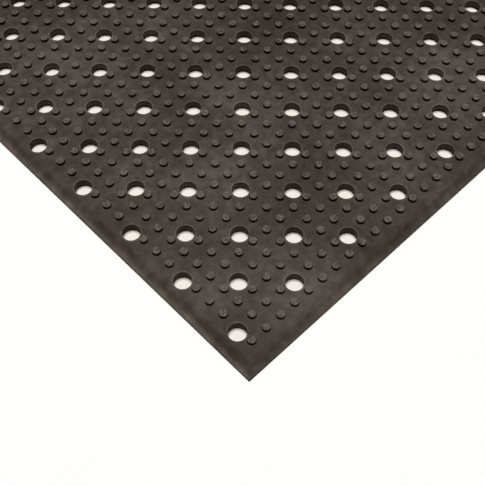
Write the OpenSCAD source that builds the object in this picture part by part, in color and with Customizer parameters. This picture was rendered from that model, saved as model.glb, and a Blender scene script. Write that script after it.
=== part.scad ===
// Anti fatigue drainage mat: a moulded rubber web with drain holes, round studs on both
// faces and a bevelled border. X runs along the long side, Y along the short side, Z up.
// The origin is the middle of the footprint, on the floor. All sizes are in millimetres.

/* [Stud grid] */
// Distance between neighbouring studs, along both sides
pitch = 12.56; // [12:0.01:16]
// Number of stud steps along the long side
x_steps = 70; // [14:2:70]
// Number of stud steps along the short side
y_steps = 46; // [14:2:46]

/* [Thickness] */
// Height of the walking studs above the web
stud_h = 2.4; // [1:0.1:3]
// Thickness of the web between the studs
web_t = 5.1; // [3:0.1:8]
// Height of the underside studs, which hold the web off the floor
foot_h = 2; // [1:0.1:3]

/* [Studs] */
// Radius of a stud
stud_r = 2.8; // [1.5:0.05:3]

/* [Drain holes] */
// Radius of a drain hole
hole_r = 6.1; // [3:0.1:6.5]
// Shift of the holes from the stud grid along X
hole_dx = -2.1; // [-2.2:0.05:0]
// Shift of the holes from the stud grid along Y
hole_dy = -2.25; // [-2.3:0.05:0]

/* [Border] */
// From the first stud line to the edge, along X
x_border = 17.6; // [17.4:0.05:40]
// From the first stud line to the edge, along Y
y_border = 15.95; // [15.5:0.05:40]
// Width of the bevelled edge strip
ramp_w = 8.4; // [5:0.1:8.4]
// Flat part of the strip before it slopes down
ramp_flat = 0.5; // [0:0.1:2]
// Height of the strip's outer lip
lip_h = 2; // [1:0.1:3]
// Width of the flat top of the lip
lip_w = 1; // [0.5:0.1:2]

/* [Hidden] */
mat_l = x_steps * pitch + 2 * x_border;
mat_w = y_steps * pitch + 2 * y_border;
web_top = foot_h + web_t;
web_l = mat_l - 2 * ramp_w;
web_w = mat_w - 2 * ramp_w;
mitre_h = web_top + 1;
cut_over = 1;
// Grid places of the underside studs that carry the mat, in three rows of three
bearing_m = [5, floor(x_steps / 4) * 2 + 1, x_steps - 5];
bearing_n = [4, floor(y_steps / 4) * 2, y_steps - 4];
$fn = 24;

function grid_x(m) = m * pitch - x_steps * pitch / 2;
function grid_y(n) = n * pitch - y_steps * pitch / 2;

// Every eighth grid place is a drain hole, in rows that are staggered by half a step
function is_hole(m, n) = m % 2 == 0 && n % 2 == 1 && (m + n - 1) % 4 == 0;

function is_bearing(m, n) =
    len(search(m, bearing_m)) > 0 && len(search(n, bearing_n)) > 0;

module at_grid(m, n) {
    translate([grid_x(m), grid_y(n), 0]) children();
}

// Sheet that joins everything, drilled by the drain holes
module perforated_web() {
    color([0.07, 0.065, 0.06])
        difference() {
            translate([-web_l / 2, -web_w / 2, foot_h]) cube([web_l, web_w, web_t]);
            for (m = [0 : x_steps], n = [0 : y_steps])
                if (is_hole(m, n))
                    at_grid(m, n)
                        translate([hole_dx, hole_dy, foot_h - cut_over])
                            cylinder(r = hole_r, h = web_t + 2 * cut_over);
        }
}

// Cross-section of the bevelled strip: x outwards from the web, y up
module ramp_profile() {
    polygon([
        [0, 0],
        [ramp_w, 0],
        [ramp_w, lip_h],
        [ramp_w - lip_w, lip_h],
        [ramp_flat, web_top],
        [0, web_top]
    ]);
}

// Strip along X whose two ends are cut at 45 degrees to meet the next strips
module ramp(length) {
    difference() {
        rotate([90, 0, 90])
            translate([0, 0, -length / 2]) linear_extrude(length) ramp_profile();
        for (side = [-1, 1])
            translate([side * (length / 2 - ramp_w), 0, -cut_over])
                rotate(side > 0 ? -45 : 45)
                    translate([side > 0 ? 0 : -2 * ramp_w, -ramp_w, 0])
                        cube([2 * ramp_w, 4 * ramp_w, mitre_h + cut_over]);
    }
}

// Long strips lie along X at the front and rear, short ones along Y at the two ends
module edge_ramp(turn, reach, length) {
    color([0.06, 0.056, 0.052])
        rotate(turn) translate([0, reach, 0]) ramp(length);
}

module stud(z, h) {
    translate([0, 0, z]) cylinder(r = stud_r, h = h);
}

// One stud on every free place of grid row n
module stud_row(n, z, h) {
    for (m = [0 : x_steps])
        if (!is_hole(m, n) && !(z == 0 && is_bearing(m, n)))
            at_grid(m, n) stud(z, h);
}

module walking_studs() {
    color([0.09, 0.084, 0.078])
        for (n = [0 : y_steps]) stud_row(n, web_top, stud_h);
}

module underside_studs() {
    color([0.05, 0.047, 0.044])
        for (n = [0 : y_steps]) stud_row(n, 0, foot_h);
}

module underside_bearing_studs() {
    color([0.05, 0.047, 0.044])
        for (m = bearing_m, n = bearing_n) at_grid(m, n) stud(0, foot_h);
}

perforated_web();
edge_ramp(180, web_w / 2, mat_l);  // front_edge_ramp
edge_ramp(0, web_w / 2, mat_l);  // rear_edge_ramp
edge_ramp(90, web_l / 2, mat_w);  // left_edge_ramp
edge_ramp(-90, web_l / 2, mat_w);  // right_edge_ramp
walking_studs();
underside_studs();
underside_bearing_studs();
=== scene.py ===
"""Looks of the anti fatigue drainage mat: one rubber moulding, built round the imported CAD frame.

Metres, Z up, X along the long side. Every piece is meshed here from the boxes of the CAD nodes.
"""
import math

import bpy
import numpy as np
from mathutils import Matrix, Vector


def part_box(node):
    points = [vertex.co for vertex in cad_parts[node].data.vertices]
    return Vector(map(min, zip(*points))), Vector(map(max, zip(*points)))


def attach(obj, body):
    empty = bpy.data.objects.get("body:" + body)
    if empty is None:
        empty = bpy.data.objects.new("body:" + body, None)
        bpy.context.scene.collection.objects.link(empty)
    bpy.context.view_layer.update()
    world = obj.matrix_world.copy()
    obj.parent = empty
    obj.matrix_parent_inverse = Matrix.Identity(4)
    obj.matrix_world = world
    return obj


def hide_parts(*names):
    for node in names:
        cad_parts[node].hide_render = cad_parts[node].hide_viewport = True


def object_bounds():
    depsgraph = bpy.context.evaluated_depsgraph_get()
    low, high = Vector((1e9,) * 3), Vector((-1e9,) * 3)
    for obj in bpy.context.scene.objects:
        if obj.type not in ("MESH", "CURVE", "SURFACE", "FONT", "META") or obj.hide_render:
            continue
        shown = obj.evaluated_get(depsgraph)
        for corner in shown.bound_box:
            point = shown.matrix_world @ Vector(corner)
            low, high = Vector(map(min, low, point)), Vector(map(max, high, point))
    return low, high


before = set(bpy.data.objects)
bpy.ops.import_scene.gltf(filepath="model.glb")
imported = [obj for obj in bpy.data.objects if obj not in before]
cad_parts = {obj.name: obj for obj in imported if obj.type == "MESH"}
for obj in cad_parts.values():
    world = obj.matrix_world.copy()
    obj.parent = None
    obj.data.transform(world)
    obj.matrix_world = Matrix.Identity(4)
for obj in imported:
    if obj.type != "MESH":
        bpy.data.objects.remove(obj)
cad_low, cad_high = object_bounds()

BODY = "root"
MM = 0.001
rng = np.random.default_rng(20)

# Grid of the studs and the drain holes, in steps of the stud pitch
X_STEPS = 70
Y_STEPS = 46
STUD_RADIUS = 2.8 * MM
HOLE_RADIUS = 6.1 * MM
HOLE_SHIFT = Vector((-2.1 * MM, -2.25 * MM))
# Grid places of the underside studs that carry the mat, in three rows of three
BEARING_M = (5, X_STEPS // 4 * 2 + 1, X_STEPS - 5)
BEARING_N = (4, Y_STEPS // 4 * 2, Y_STEPS - 4)

# Sizes that follow from the CAD boxes, and the border's lip
web_low, web_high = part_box("perforated_web")
studs_low, studs_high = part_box("walking_studs")
PITCH = (studs_high.x - studs_low.x - 2 * STUD_RADIUS) / X_STEPS
WEB_TOP = web_high.z
WEB_BOTTOM = web_low.z
STUD_TOP = studs_high.z
STUD_HEIGHT = STUD_TOP - WEB_TOP
RAMP_WIDTH = cad_high.x - web_high.x
LIP_HEIGHT = 2 * MM
LIP_WIDTH = 1 * MM

# Camera: a point of the grid that it looks at, and where it stands from there
AIM_STEPS = (3.4975, 4.2585)
DISTANCE_STEPS = 45.567
AZIMUTH = 45.98
ELEVATION = 58.29
LENS = 65.56
SENSOR = 36.0


def grid_x(m):
    return (m - X_STEPS / 2) * PITCH


def grid_y(n):
    return (n - Y_STEPS / 2) * PITCH


def is_hole(m, n):
    """Every eighth grid place is a drain hole, in rows that are staggered by half a step."""
    return m % 2 == 0 and n % 2 == 1 and (m + n - 1) % 4 == 0


def is_bearing(m, n):
    return m in BEARING_M and n in BEARING_N


# ---------------------------------------------------------------- shader helpers

def feed(tree, socket, value):
    """Link a socket to an output, or set it to a plain number."""
    if isinstance(value, bpy.types.NodeSocket):
        tree.links.new(value, socket)
    else:
        socket.default_value = value


def noise(tree, coords, scale, detail=3.0, roughness=0.55, seed=0.0):
    """Noise from 0 to 1 with about scale features to the metre; each seed gives another pattern."""
    made = tree.nodes.new("ShaderNodeTexNoise")
    made.noise_dimensions = "4D"
    made.inputs["W"].default_value = seed
    made.inputs["Scale"].default_value = scale
    made.inputs["Detail"].default_value = detail
    made.inputs["Roughness"].default_value = roughness
    tree.links.new(coords, made.inputs["Vector"])
    return made.outputs["Fac"]


def remap(tree, value, low, high, new_low, new_high):
    """The value carried from the first range to the second, and held at the second one's ends."""
    made = tree.nodes.new("ShaderNodeMapRange")
    made.inputs["From Min"].default_value = low
    made.inputs["From Max"].default_value = high
    made.inputs["To Min"].default_value = new_low
    made.inputs["To Max"].default_value = new_high
    tree.links.new(value, made.inputs["Value"])
    return made.outputs["Result"]


def blend(tree, factor, low, high):
    """Colour low where factor is 0 and high where it is 1; each is a colour or a socket."""
    made = tree.nodes.new("ShaderNodeMix")
    made.data_type = "RGBA"
    made.clamp_factor = True
    tree.links.new(factor, made.inputs["Factor"])
    for socket, colour in ((made.inputs["A"], low), (made.inputs["B"], high)):
        if isinstance(colour, bpy.types.NodeSocket):
            tree.links.new(colour, socket)
        else:
            socket.default_value = (*colour, 1)
    return made.outputs["Result"]


def maths(tree, operation, a, b=0.0):
    made = tree.nodes.new("ShaderNodeMath")
    made.operation = operation
    feed(tree, made.inputs[0], a)
    feed(tree, made.inputs[1], b)
    return made.outputs["Value"]


def scaled(tree, colour, factor):
    """The colour times a number, or times a factor that varies over the surface."""
    made = tree.nodes.new("ShaderNodeVectorMath")
    made.operation = "SCALE"
    tree.links.new(colour, made.inputs["Vector"])
    feed(tree, made.inputs["Scale"], factor)
    return made.outputs["Vector"]


def components(tree, vector):
    """The outputs X, Y and Z of a vector."""
    made = tree.nodes.new("ShaderNodeSeparateXYZ")
    tree.links.new(vector, made.inputs["Vector"])
    return made.outputs


def bump(tree, height, strength, distance):
    made = tree.nodes.new("ShaderNodeBump")
    made.inputs["Strength"].default_value = strength
    made.inputs["Distance"].default_value = distance
    tree.links.new(height, made.inputs["Height"])
    return made


# ---------------------------------------------------------------- materials

# Colours of the rubber, from its dark patches to what shoes rub off and leave behind
RUBBER_DARK = (0.0268, 0.0187, 0.0150)
RUBBER_MID = (0.0490, 0.0378, 0.0311)
RUBBER_LIGHT = (0.0875, 0.0698, 0.0585)
WORN = (0.113, 0.094, 0.080)
TREAD = (0.133, 0.112, 0.099)
DUST = (0.17, 0.145, 0.125)
UPRIGHT_SHADE = 0.22               # painted shade: how much darker an upright side is painted than a top
SIDE_PAINTED_LIGHT = (0.7, 0.1)   # painted light: how much lighter the foot and the slope of the left and right border are painted
FRONT_PAINTED_LIGHT = (0.1, 0.5)  # the same for the front and rear border

# Features to the metre
CLOUDS = 14
PATCHES = 130
SPECKS = 520
TREAD_MARKS = 800
GRAIN = 1500

COARSE_DEPTH = 0.4 * MM
FINE_DEPTH = 0.05 * MM

FLOOR_SHADE = (0.88, 0.86, 0.835)
FLOOR_LIGHT = (0.91, 0.89, 0.865)
# painted shade on the floor under the mat, seen through the drain holes
FLOOR_UNDER_SHADE = (0.78, 0.735, 0.68)


def border_painted_light(tree, height, foot_light, slope_light):
    """Painted light on the border's foot and slope, by amounts that differ from side to side with how the
    light falls, and painted shade on its upright lip.
    """
    normal = tree.nodes.new("ShaderNodeNewGeometry").outputs["Normal"]
    level = components(tree, normal)["Z"]
    foot = remap(tree, height, LIP_HEIGHT, WEB_TOP, foot_light, 0)
    slope = remap(tree, level, 0.98, 0.75, 0, slope_light)
    lighter = maths(tree, "ADD", maths(tree, "ADD", foot, slope), 1)
    # painted shade: faces that turn upright are painted darker
    return maths(tree, "MULTIPLY", lighter, remap(tree, level, 0.3, 0.85, UPRIGHT_SHADE, 1))


def stud_wear_and_shade(tree, coords, height, colour):
    """The colour with painted shade down a stud's side and over its rounded top edge, and pale shoe marks on
    its top.
    """
    marks = noise(tree, coords, TREAD_MARKS, roughness=0.7, seed=5.0)
    rub = remap(tree, marks, 0.42, 0.58, 0, 1)
    top = remap(tree, height, STUD_TOP - 0.25 * MM, STUD_TOP - 0.05 * MM, 0, 1)
    # painted shade: the side and the rounded edge of the top are painted darker
    side = remap(tree, height, STUD_TOP - 0.7 * MM, STUD_TOP - 0.12 * MM, UPRIGHT_SHADE, 1)
    return blend(tree, maths(tree, "MULTIPLY", top, rub), scaled(tree, colour, side), TREAD)


def rubber(name, shaded_worn_studs=False, roughness=0.5, specular=0.07, border_light=None, tone=1.0, relief=1.0):
    """Moulded rubber: mottled colour, a fine grain and dust in specks."""
    made = bpy.data.materials.new(name)
    made.use_nodes = True
    tree = made.node_tree
    shader = tree.nodes["Principled BSDF"]
    coords = tree.nodes.new("ShaderNodeTexCoord").outputs["Object"]
    height = components(tree, coords)["Z"]
    clouds = noise(tree, coords, CLOUDS, seed=1.0)
    patches = noise(tree, coords, PATCHES, detail=4, roughness=0.65, seed=2.0)
    grain = noise(tree, coords, GRAIN, roughness=0.7, seed=3.0)
    specks = noise(tree, coords, SPECKS, detail=2, roughness=0.6, seed=4.0)
    mottle = maths(tree, "MULTIPLY", maths(tree, "ADD", clouds, patches), 0.5)
    colour = blend(tree, remap(tree, mottle, 0.36, 0.5, 0, 1), RUBBER_DARK, RUBBER_MID)
    colour = blend(tree, remap(tree, mottle, 0.5, 0.64, 0, 1), colour, RUBBER_LIGHT)
    colour = blend(tree, remap(tree, grain, 0.52, 0.8, 0, 0.5 * relief), colour, WORN)
    colour = blend(tree, remap(tree, specks, 0.69, 0.78, 0, 0.5 * relief), colour, DUST)
    if shaded_worn_studs:
        colour = stud_wear_and_shade(tree, coords, height, colour)
    # painted light and shade on the border
    if border_light is not None:
        colour = scaled(tree, colour, border_painted_light(tree, height, *border_light))
    # tone paints the hole walls and rims lighter: painted light
    if tone != 1:
        colour = scaled(tree, colour, tone)
    tree.links.new(colour, shader.inputs["Base Color"])
    rough = remap(tree, patches, 0.3, 0.7, roughness - 0.08, roughness + 0.08)
    tree.links.new(rough, shader.inputs["Roughness"])
    shader.inputs["Specular IOR Level"].default_value = specular
    coarse = bump(tree, patches, 0.3 * relief, COARSE_DEPTH)
    fine = bump(tree, grain, 0.35 * relief, FINE_DEPTH)
    tree.links.new(coarse.outputs["Normal"], fine.inputs["Normal"])
    tree.links.new(fine.outputs["Normal"], shader.inputs["Normal"])
    return made


def floor_paint():
    """Matt white studio floor with a barely visible unevenness, and painted shade where the mat covers it."""
    made = bpy.data.materials.new("studio_floor")
    made.use_nodes = True
    tree = made.node_tree
    shader = tree.nodes["Principled BSDF"]
    coords = tree.nodes.new("ShaderNodeTexCoord").outputs["Object"]
    paint = blend(tree, noise(tree, coords, 4, seed=6.0), FLOOR_SHADE, FLOOR_LIGHT)
    place = components(tree, coords)
    across = maths(tree, "DIVIDE", maths(tree, "ABSOLUTE", place["X"]), web_high.x)
    along = maths(tree, "DIVIDE", maths(tree, "ABSOLUTE", place["Y"]), web_high.y)
    mat_shade = remap(tree, maths(tree, "MAXIMUM", across, along), 1.0, 0.99, 0, 1)
    tree.links.new(blend(tree, mat_shade, paint, FLOOR_UNDER_SHADE), shader.inputs["Base Color"])
    shader.inputs["Roughness"].default_value = 0.85
    shader.inputs["Specular IOR Level"].default_value = 0.2
    return made


# ---------------------------------------------------------------- mesh helpers

def make_object(name, vertices, faces, material, sharp_angle=40):
    """A mesh that is smooth except at edges sharper than sharp_angle, in degrees."""
    mesh = bpy.data.meshes.new(name)
    mesh.from_pydata(np.asarray(vertices, float).tolist(), [], faces)
    mesh.polygons.foreach_set("use_smooth", [True] * len(mesh.polygons))
    mesh.set_sharp_from_angle(angle=math.radians(sharp_angle))
    mesh.materials.append(material)
    mesh.update()
    made = bpy.data.objects.new(name, mesh)
    bpy.context.scene.collection.objects.link(made)
    return made


def weight_normals(obj):
    """Flats next to a fillet are shaded flat."""
    modifier = obj.modifiers.new("weighted_normals", "WEIGHTED_NORMAL")
    modifier.keep_sharp = True
    modifier.weight = 100


def add_piece(obj, cad_node):
    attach(obj, BODY)
    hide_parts(cad_node)


# ---------------------------------------------------------------- web

SIDE_POINTS = 7          # mesh steps along each side of a web cell
TOP_RIM = 0.35 * MM      # radius of the rounded rim of a drain hole
RIM_STEPS = 2            # mesh steps round that rim
BOTTOM_RIM = 0.3 * MM    # chamfer of its lower rim
RIM_WIDTH = 0.7 * MM     # ring round it, painted lighter: a painted highlight
WALL_MATERIAL = 1        # places in the web's list of materials
RIM_MATERIAL = 2


def hole_rings():
    """(radius, height) from the top of the web, through a drain hole, to the underside."""
    rings = [(HOLE_RADIUS + TOP_RIM + RIM_WIDTH, WEB_TOP)]
    for k in range(RIM_STEPS + 1):
        turn = math.radians(90) * k / RIM_STEPS
        radius = HOLE_RADIUS + TOP_RIM * (1 - math.sin(turn))
        rings.append((radius, WEB_TOP - TOP_RIM * (1 - math.cos(turn))))
    rings.append((HOLE_RADIUS, WEB_BOTTOM + BOTTOM_RIM))
    rings.append((HOLE_RADIUS + BOTTOM_RIM, WEB_BOTTOM))
    return rings


def perforated_web(material, wall_material, rim_material):
    """Cells of two by two steps, every second one with a drain hole in it."""
    x_cells = X_STEPS // 2 + 1
    y_cells = Y_STEPS // 2
    x_edges = [grid_x(2 * i - 1) + HOLE_SHIFT.x for i in range(x_cells + 1)]
    y_edges = [grid_y(2 * j) + HOLE_SHIFT.y for j in range(y_cells + 1)]
    x_edges[0], x_edges[-1] = web_low.x, web_high.x
    y_edges[0], y_edges[-1] = web_low.y, web_high.y
    vertices, faces, face_materials, known = [], [], {}, {}

    def spread(edges, at):
        """Where mesh step number at lies, counted along all the cells."""
        cell = min(at // SIDE_POINTS, len(edges) - 2)
        part = at / SIDE_POINTS - cell
        return edges[cell] + (edges[cell + 1] - edges[cell]) * part

    def corner(a, b, height):
        """Number of the vertex at mesh steps a and b, which neighbouring cells share."""
        key = (a, b, height)
        if key not in known:
            known[key] = len(vertices)
            vertices.append((spread(x_edges, a), spread(y_edges, b), height))
        return known[key]

    def outline(i, j, height):
        """The cell's rim, anticlockwise from its lowest corner."""
        a, b, s = i * SIDE_POINTS, j * SIDE_POINTS, SIDE_POINTS
        walk = [(a + k, b) for k in range(s)] + [(a + s, b + k) for k in range(s)]
        walk += [(a + s - k, b + s) for k in range(s)] + [(a, b + s - k) for k in range(s)]
        return [corner(*place, height) for place in walk]

    rings = hole_rings()
    count = 4 * SIDE_POINTS
    # The first point of each ring faces the cell's lowest corner
    angles = [math.radians(-135 + 360 * k / count) for k in range(count)]
    for i in range(x_cells):
        for j in range(y_cells):
            top = outline(i, j, WEB_TOP)
            bottom = outline(i, j, WEB_BOTTOM)
            if not is_hole(2 * i, 2 * j + 1):
                faces.append(top)
                faces.append(bottom[::-1])
                continue
            x = grid_x(2 * i) + HOLE_SHIFT.x
            y = grid_y(2 * j + 1) + HOLE_SHIFT.y
            loops = [top]
            for radius, height in rings:
                first = len(vertices)
                vertices.extend((x + radius * math.cos(t), y + radius * math.sin(t), height) for t in angles)
                loops.append(list(range(first, first + count)))
            loops.append(bottom)
            for level, (outer, inner) in enumerate(zip(loops, loops[1:])):
                for k in range(count):
                    after = (k + 1) % count
                    if level == 1:
                        face_materials[len(faces)] = RIM_MATERIAL
                    elif 1 < level < len(loops) - 2:
                        face_materials[len(faces)] = WALL_MATERIAL
                    faces.append([outer[k], outer[after], inner[after], inner[k]])
    a_end, b_end = x_cells * SIDE_POINTS, y_cells * SIDE_POINTS
    rim = [(a, 0) for a in range(a_end)] + [(a_end, b) for b in range(b_end)]
    rim += [(a, b_end) for a in range(a_end, 0, -1)] + [(0, b) for b in range(b_end, 0, -1)]
    for here, there in zip(rim, rim[1:] + rim[:1]):
        lower = [corner(*here, WEB_BOTTOM), corner(*there, WEB_BOTTOM)]
        upper = [corner(*there, WEB_TOP), corner(*here, WEB_TOP)]
        faces.append(lower + upper)
    made = make_object("perforated_web", vertices, faces, material)
    made.data.materials.append(wall_material)
    made.data.materials.append(rim_material)
    for face, index in face_materials.items():
        made.data.polygons[face].material_index = index
    weight_normals(made)
    return made


# ---------------------------------------------------------------- border

SLOPE_STEPS = 12
LIP_RADIUS = 0.45 * MM
LIP_STEPS = 4
SHOULDER = 0.3 * MM      # how far the web runs level into a ramp


def ramp_section():
    """(distance outward from the web, height) round a section: a smooth S down to a level lip."""
    foot = RAMP_WIDTH - LIP_WIDTH
    points = [(0, WEB_TOP)]
    for k in range(SLOPE_STEPS + 1):
        part = k / SLOPE_STEPS
        drop = part * part * (3 - 2 * part)
        points.append((SHOULDER + (foot - SHOULDER) * part, WEB_TOP - (WEB_TOP - LIP_HEIGHT) * drop))
    for k in range(LIP_STEPS + 1):
        turn = math.radians(90) * k / LIP_STEPS
        out = RAMP_WIDTH - LIP_RADIUS * (1 - math.sin(turn))
        points.append((out, LIP_HEIGHT - LIP_RADIUS * (1 - math.cos(turn))))
    return points + [(RAMP_WIDTH, 0), (0, 0)]


def edge_ramp(name, outward, reach, half_length, material):
    """One bevelled side, mitred at both ends. Outward is the way its lip faces."""
    section = ramp_section()
    count = len(section)
    along = Vector((outward.y, -outward.x))
    lengths = 4 * round(half_length / PITCH)
    vertices, faces = [], []
    for k in range(lengths + 1):
        t = 2 * k / lengths - 1
        for d, z in section:
            place = outward * (reach + d) + along * (t * (half_length + d))
            vertices.append((place.x, place.y, z))
    for k in range(lengths):
        here, there = k * count, (k + 1) * count
        for p in range(count):
            q = (p + 1) % count
            faces.append([here + q, there + q, there + p, here + p])
    faces.append(list(range(count)))
    faces.append([lengths * count + p for p in reversed(range(count))])
    made = make_object(name, vertices, faces, material)
    weight_normals(made)
    return made


# ---------------------------------------------------------------- studs

STUD_SWELL = 0.012       # how much the studs' radii differ
STUD_LEAN = 0.012        # how much their tops tilt, as a slope
SINK = 0.05 * MM         # how far their roots run into the web
WALKING_SEGMENTS = 16
FOOT_SEGMENTS = 12
BEARING_SEGMENTS = 18


def stud_mesh(name, places, profile, base, direction, segments, material):
    """Round studs at the given places. Profile is (radius, height above base) from the root to the cap."""
    rings, count = len(profile), len(places)
    angle = np.linspace(0, 2 * math.pi, segments, endpoint=False)
    radii = np.array([p[0] for p in profile])
    heights = np.array([p[1] for p in profile])
    places = np.array(places)
    swell = 1 + rng.normal(0, STUD_SWELL, (count, 1, 1))
    spin = rng.uniform(0, 2 * math.pi, (count, 1, 1))
    lean = rng.normal(0, STUD_LEAN, (count, 1, 1, 2))
    arm = radii[None, :, None] * swell
    x = arm * np.cos(angle[None, None, :] + spin)
    y = arm * np.sin(angle[None, None, :] + spin)
    z = np.broadcast_to(heights[None, :, None], x.shape).copy()
    share = np.clip(heights[None, :, None] / heights.max(), 0, 1)
    # A leaning top only goes down from the full height, never above it
    tilt = x * lean[..., 0] + y * lean[..., 1] - STUD_RADIUS * np.abs(lean).sum(-1)
    z += share ** 2 * tilt
    x += places[:, 0, None, None]
    y += places[:, 1, None, None]
    vertices = np.stack([x, y, base + direction * z], -1).reshape(-1, 3)
    ring = np.arange(segments)
    after = (ring + 1) % segments
    band = np.stack([ring, after, after + segments, ring + segments], -1)
    wall = np.concatenate([band + k * segments for k in range(rings - 1)])
    caps = np.stack([ring[::-1], ring + (rings - 1) * segments])
    first = np.arange(count) * rings * segments
    quads = (wall[None] + first[:, None, None]).reshape(-1, 4)
    ends = (caps[:, None] + first[None, :, None]).reshape(-1, segments)
    if direction < 0:
        quads, ends = quads[:, ::-1], ends[:, ::-1]
    return make_object(name, vertices, quads.tolist() + ends.tolist(), material, sharp_angle=50)


def walking_profile():
    """A small fillet at the root, an upright side, a rounded edge and a barely dished top."""
    r, h = STUD_RADIUS, STUD_HEIGHT
    root = [(r + 0.30 * MM, -SINK), (r + 0.10 * MM, 0.12 * MM), (r + 0.02 * MM, 0.4 * MM)]
    edge = [(r - 0.02 * MM, h - 0.26 * MM), (r - 0.08 * MM, h - 0.09 * MM), (r - 0.24 * MM, h - 0.01 * MM)]
    return root + edge + [(r - 0.6 * MM, h), (r - 1.2 * MM, h - 0.05 * MM)]


def foot_profile():
    r, h = STUD_RADIUS, WEB_BOTTOM
    return [(r + 0.3 * MM, -SINK), (r, 0.3 * MM), (r - 0.06 * MM, h - 0.25 * MM), (r - 0.3 * MM, h)]


def quarters(places):
    """The places in four parts, by quarter of the mat, as name and list."""
    parts = {}
    for x, y in places:
        side = ("rear" if y > 0 else "front") + ("_right" if x > 0 else "_left")
        parts.setdefault(side, []).append((x, y))
    return sorted(parts.items())


def stud_places(keep):
    places = [(m, n) for m in range(X_STEPS + 1) for n in range(Y_STEPS + 1)]
    return [(grid_x(m), grid_y(n)) for m, n in places if not is_hole(m, n) and keep(m, n)]


# ---------------------------------------------------------------- mat

def build_web():
    # painted light: the hole walls are painted lighter, for light bounced up from the floor
    walls = rubber("rubber_hole_walls_painted_light", roughness=0.6, specular=0.04, tone=1.5, relief=0.2)
    # painted highlight: the ring round each hole is painted lighter
    rims = rubber("rubber_hole_rims_painted_highlight", tone=1.65)
    add_piece(perforated_web(rubber("rubber_web"), walls, rims), "perforated_web")


def build_border():
    # lit and shaded copies of one rubber: the front and rear and the left and right borders get different
    # painted light
    front_rubber = rubber("rubber_border_front_painted_light", roughness=0.55, border_light=FRONT_PAINTED_LIGHT)
    side_rubber = rubber("rubber_border_side_painted_light", roughness=0.55, border_light=SIDE_PAINTED_LIGHT)
    half_x, half_y = web_high.x, web_high.y
    sides = (("rear", (0, 1), half_y, half_x, front_rubber), ("left", (-1, 0), half_x, half_y, side_rubber),
             ("front", (0, -1), half_y, half_x, front_rubber), ("right", (1, 0), half_x, half_y, side_rubber))
    for side, outward, reach, half_length, material in sides:
        name = side + "_edge_ramp"
        add_piece(edge_ramp(name, Vector(outward), reach, half_length, material), name)


def build_studs():
    stud_rubber = rubber("rubber_studs", shaded_worn_studs=True)
    foot_rubber = rubber("rubber_feet", roughness=0.62)
    for part, places in quarters(stud_places(lambda m, n: True)):
        name = "walking_studs_" + part
        studs = stud_mesh(name, places, walking_profile(), WEB_TOP, 1, WALKING_SEGMENTS, stud_rubber)
        add_piece(studs, "walking_studs")
    for part, places in quarters(stud_places(lambda m, n: not is_bearing(m, n))):
        name = "underside_studs_" + part
        feet = stud_mesh(name, places, foot_profile(), WEB_BOTTOM, -1, FOOT_SEGMENTS, foot_rubber)
        add_piece(feet, "underside_studs")
    name = "underside_bearing_studs"
    places = stud_places(is_bearing)
    bearing = stud_mesh(name, places, foot_profile(), WEB_BOTTOM, -1, BEARING_SEGMENTS, foot_rubber)
    add_piece(bearing, name)


# ---------------------------------------------------------------- studio

FLOOR_REACH = 3.0        # from the middle of the floor to its sides
AMBIENT = 0.05           # strength of the even light from all round
KEY_WATTS = 290
KEY_AZIMUTH = 60
KEY_ELEVATION = 84
KEY_DISTANCE = 5
KEY_SIZE = 2.05


def direction(azimuth, elevation):
    """Unit vector; azimuth is counted from +X towards +Y."""
    a, e = math.radians(azimuth), math.radians(elevation)
    return Vector((math.cos(e) * math.cos(a), math.cos(e) * math.sin(a), math.sin(e)))


def aim_point():
    """The place near the front left corner that the camera and the light both face."""
    return Vector((grid_x(AIM_STEPS[0]), grid_y(AIM_STEPS[1]), STUD_TOP))


def studio_floor():
    r = FLOOR_REACH
    corners = [(-r, -r, 0), (r, -r, 0), (r, r, 0), (-r, r, 0)]
    make_object("studio_floor", corners, [[0, 1, 2, 3]], floor_paint())


def key_light():
    """A large square softbox, almost overhead."""
    data = bpy.data.lights.new("overhead", "AREA")
    data.shape = "SQUARE"
    data.size = KEY_SIZE
    data.energy = KEY_WATTS
    made = bpy.data.objects.new("overhead", data)
    bpy.context.scene.collection.objects.link(made)
    arm = direction(KEY_AZIMUTH, KEY_ELEVATION)
    made.location = aim_point() + arm * KEY_DISTANCE
    made.rotation_euler = arm.to_track_quat("Z", "Y").to_euler()


def studio_world():
    """Weak even light on the mat, with a white backdrop behind it."""
    world = bpy.data.worlds.new("studio")
    world.use_nodes = True
    tree = world.node_tree
    background = tree.nodes["Background"]
    background.inputs["Color"].default_value = (1, 1, 1, 1)
    background.inputs["Strength"].default_value = AMBIENT
    backdrop = tree.nodes.new("ShaderNodeBackground")
    backdrop.inputs["Strength"].default_value = 1
    ray = tree.nodes.new("ShaderNodeLightPath")
    mix = tree.nodes.new("ShaderNodeMixShader")
    tree.links.new(ray.outputs["Is Camera Ray"], mix.inputs["Fac"])
    tree.links.new(background.outputs["Background"], mix.inputs[1])
    tree.links.new(backdrop.outputs["Background"], mix.inputs[2])
    tree.links.new(mix.outputs["Shader"], tree.nodes["World Output"].inputs["Surface"])
    bpy.context.scene.world = world


def studio_camera():
    data = bpy.data.cameras.new("camera")
    data.lens = LENS
    data.sensor_width = SENSOR
    data.clip_start = 0.01
    made = bpy.data.objects.new("camera", data)
    bpy.context.scene.collection.objects.link(made)
    gaze = direction(AZIMUTH, -ELEVATION)
    made.location = aim_point() - gaze * (DISTANCE_STEPS * PITCH)
    made.rotation_euler = gaze.to_track_quat("-Z", "Y").to_euler()
    bpy.context.scene.camera = made


build_web()
build_border()
build_studs()
studio_floor()
key_light()
studio_world()
studio_camera()
bpy.context.scene.view_settings.view_transform = "Standard"
